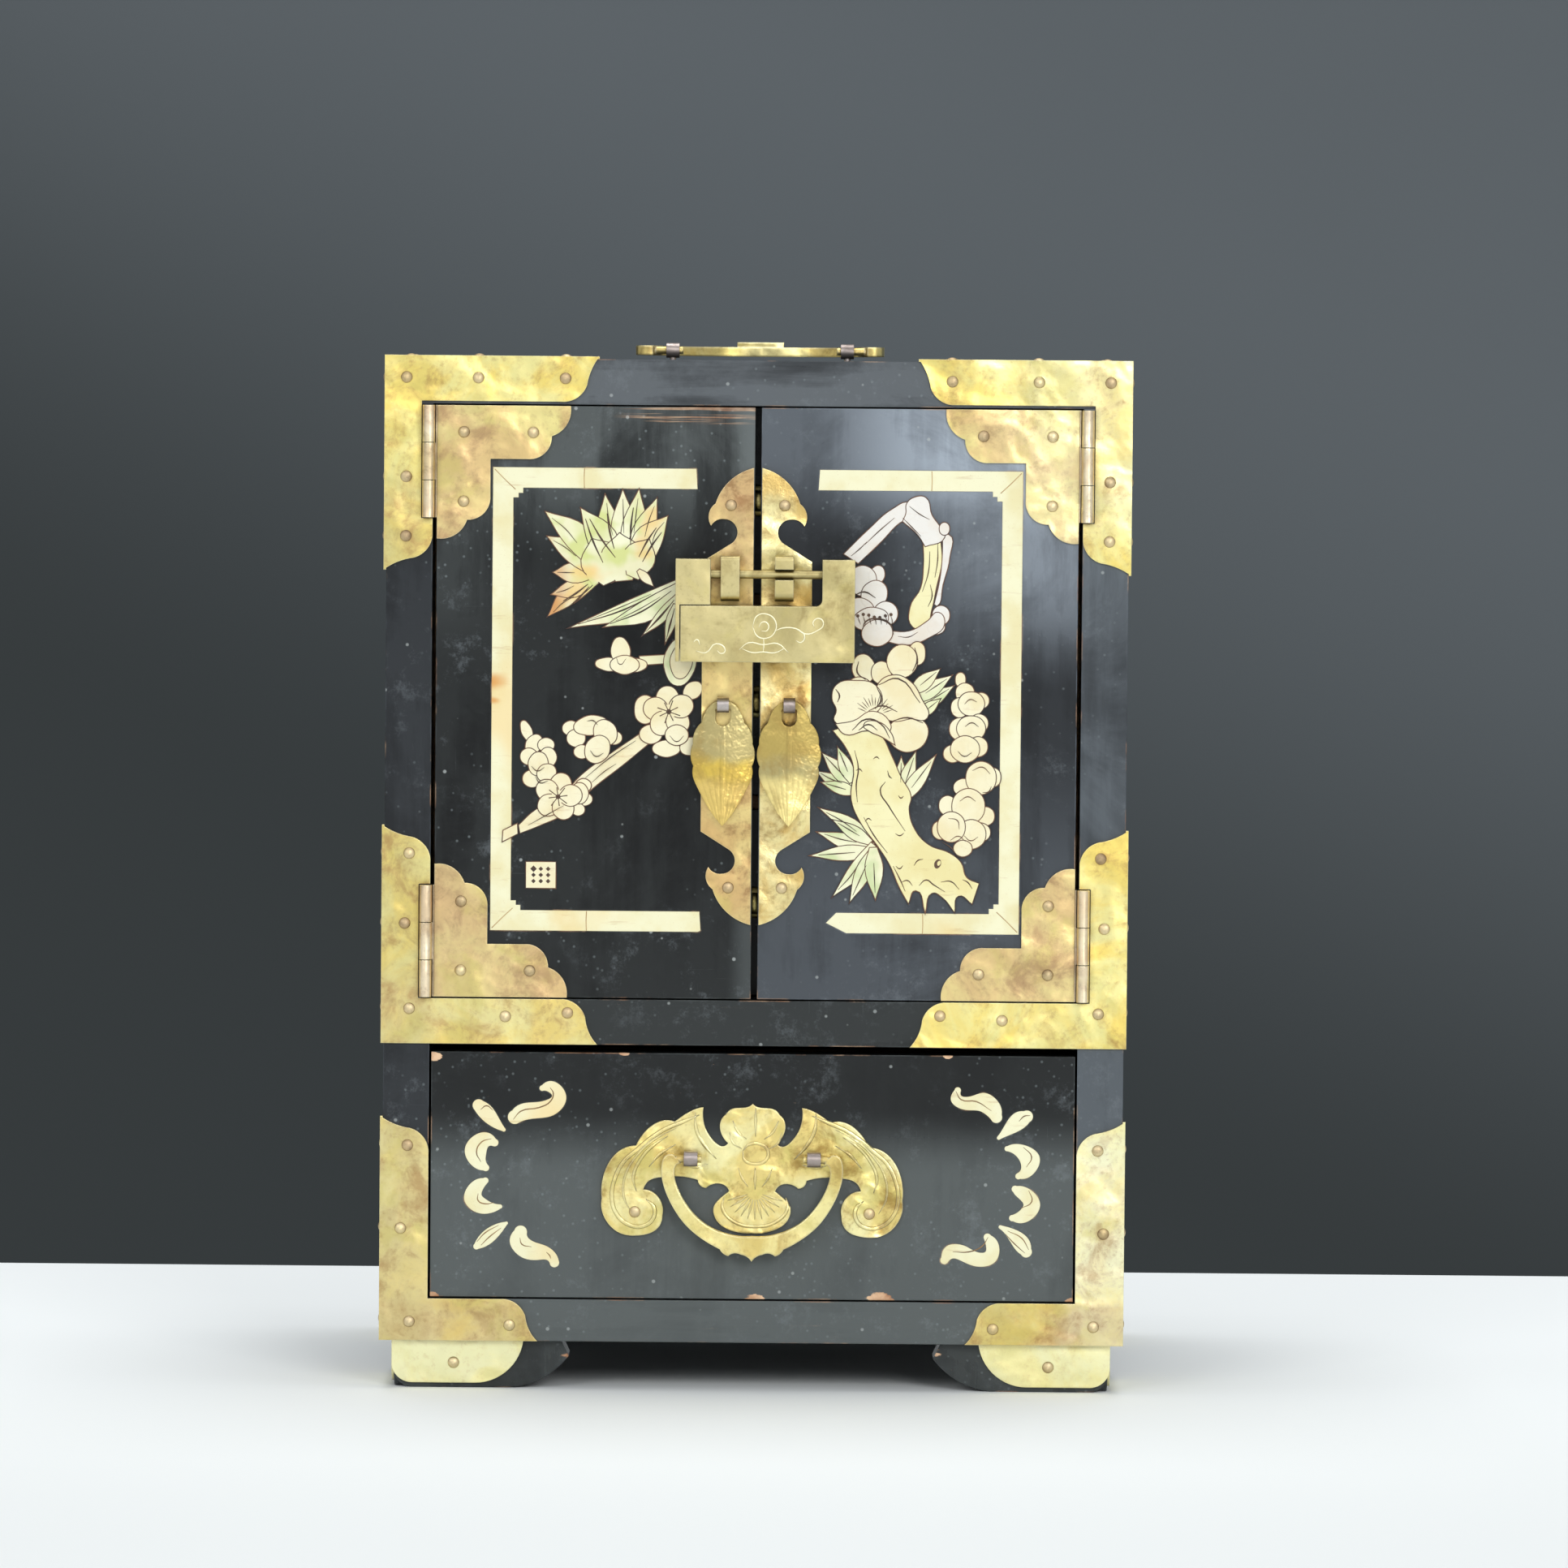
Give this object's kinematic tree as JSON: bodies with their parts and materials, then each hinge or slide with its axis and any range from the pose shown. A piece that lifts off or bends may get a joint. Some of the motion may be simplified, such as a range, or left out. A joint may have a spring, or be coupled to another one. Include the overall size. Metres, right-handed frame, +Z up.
{
  "type": "jewelry cabinet",
  "caption": "Small lacquered chest with hinged doors held by a sliding bolt lock, inner drawers, a deep lower drawer, corner feet and brass mounts.",
  "frame": {"origin": "on the floor, under the middle of the bounding box", "axes": "+X to the right seen from the front, +Y to the back, +Z up"},
  "size_m": [0.2314, 0.1776, 0.3249],
  "materials": {
    "lacquered_wood": "dark lacquer, worn",
    "bare_wood": "plain inner wood",
    "brass": "aged sheet brass",
    "dark_brass": "cast brass, olive patina",
    "steel": "dull steel",
    "bone": null
  },
  "bodies": {
    "cabinet": {"side_left": "lacquered_wood", "side_right": "lacquered_wood", "lid": "lacquered_wood", "floor": "lacquered_wood", "shelf": "lacquered_wood", "back_panel": "bare_wood", "guide_walls": "bare_wood", "drawer_dividers": "bare_wood", "bracket_upper_left": "brass", "bracket_upper_right": "brass", "bracket_middle_left": "brass", "bracket_middle_right": "brass", "bracket_lower_left": "brass", "bracket_lower_right": "brass", "foot_front_left": "lacquered_wood", "foot_front_right": "lacquered_wood", "foot_back_left": "lacquered_wood", "foot_back_right": "lacquered_wood", "foot_caps": "brass", "frame_nails": "brass", "hinge_frame_leaves": "brass", "hinge_pins": "steel", "top_handle_posts": "steel"},
    "top_handle": {"top_handle": "brass"},
    "lock_case": {"lock_case": "dark_brass"},
    "lock_bolt": {"lock_bolt": "dark_brass"},
    "deep_drawer": {"drawer_front": "lacquered_wood", "drawer_tray": "bare_wood", "drawer_bat_plate": "brass", "drawer_plate_nails": "brass", "drawer_handle_posts": "steel", "drawer_inlay": "bone"},
    "drawer_bail": {"drawer_bail": "brass"},
    "door_left": {"door_left_panel": "lacquered_wood", "door_left_hinge_leaves": "brass", "door_left_brackets": "brass", "door_left_lock_plate": "brass", "door_left_staple": "dark_brass", "door_left_pull_post": "steel", "door_left_nails": "brass", "door_left_inlay": "bone"},
    "leaf_left": {"leaf_pull_left": "brass"},
    "door_right": {"door_right_panel": "lacquered_wood", "door_right_hinge_leaves": "brass", "door_right_brackets": "brass", "door_right_lock_plate": "brass", "door_right_staple": "dark_brass", "door_right_pull_post": "steel", "door_right_nails": "brass", "door_right_inlay": "bone"},
    "leaf_right": {"leaf_pull_right": "brass"},
    "inner_drawer_bottom": {"inner_drawer_bottom_front": "lacquered_wood", "inner_drawer_bottom_tray": "bare_wood", "inner_drawer_bottom_knob": "brass"},
    "inner_drawer_middle": {"inner_drawer_middle_front": "lacquered_wood", "inner_drawer_middle_tray": "bare_wood", "inner_drawer_middle_knob": "brass"},
    "inner_drawer_top": {"inner_drawer_top_front": "lacquered_wood", "inner_drawer_top_tray": "bare_wood", "inner_drawer_top_knob": "brass"}
  },
  "joints": [
    {"name": "left_door_hinge", "type": "hinge", "parent": "cabinet", "child": "door_left", "pos_m": [-0.1013, -0.07815, 0.2126], "axis": [0, 0, -1], "range_deg": [0, 170]},
    {"name": "right_door_hinge", "type": "hinge", "parent": "cabinet", "child": "door_right", "pos_m": [0.1013, -0.07815, 0.2126], "axis": [0, 0, 1], "range_deg": [0, 170]},
    {"name": "deep_drawer_slide", "type": "slide", "parent": "cabinet", "child": "deep_drawer", "axis": [0, -1, 0], "range_m": [0, 0.11]},
    {"name": "deep_drawer_bail_swing", "type": "hinge", "parent": "deep_drawer", "child": "drawer_bail", "pos_m": [0, -0.0812, 0.0724], "axis": [-1, 0, 0], "range_deg": [0, 90]},
    {"name": "top_handle_swing", "type": "hinge", "parent": "cabinet", "child": "top_handle", "pos_m": [0, 0.0063, 0.3218], "axis": [1, 0, 0], "range_deg": [0, 180]},
    {"name": "left_leaf_swing", "type": "hinge", "parent": "door_left", "child": "leaf_left", "pos_m": [-0.0102, -0.0796, 0.2123], "axis": [-1, 0, 0], "range_deg": [0, 90]},
    {"name": "right_leaf_swing", "type": "hinge", "parent": "door_right", "child": "leaf_right", "pos_m": [0.0102, -0.0796, 0.2123], "axis": [-1, 0, 0], "range_deg": [0, 90]},
    {"name": "lock_swing", "type": "hinge", "parent": "door_left", "child": "lock_case", "pos_m": [0, -0.0843, 0.2526], "axis": [-1, 0, 0], "range_deg": [0, 90]},
    {"name": "lock_bolt_slide", "type": "slide", "parent": "lock_case", "child": "lock_bolt", "axis": [-1, 0, 0], "range_m": [0, 0.032]},
    {"name": "inner_drawer_bottom_slide", "type": "slide", "parent": "cabinet", "child": "inner_drawer_bottom", "axis": [0, -1, 0], "range_m": [0, 0.085]},
    {"name": "inner_drawer_middle_slide", "type": "slide", "parent": "cabinet", "child": "inner_drawer_middle", "axis": [0, -1, 0], "range_m": [0, 0.085]},
    {"name": "inner_drawer_top_slide", "type": "slide", "parent": "cabinet", "child": "inner_drawer_top", "axis": [0, -1, 0], "range_m": [0, 0.085]}
  ],
  "couplings": [
    {"joint": "right_door_hinge", "follows": "left_door_hinge", "ratio": 1},
    {"joint": "inner_drawer_bottom_slide", "follows": "left_door_hinge", "m_per_rad": 0.0275},
    {"joint": "inner_drawer_middle_slide", "follows": "left_door_hinge", "m_per_rad": 0.0275},
    {"joint": "inner_drawer_top_slide", "follows": "left_door_hinge", "m_per_rad": 0.0275}
  ]
}
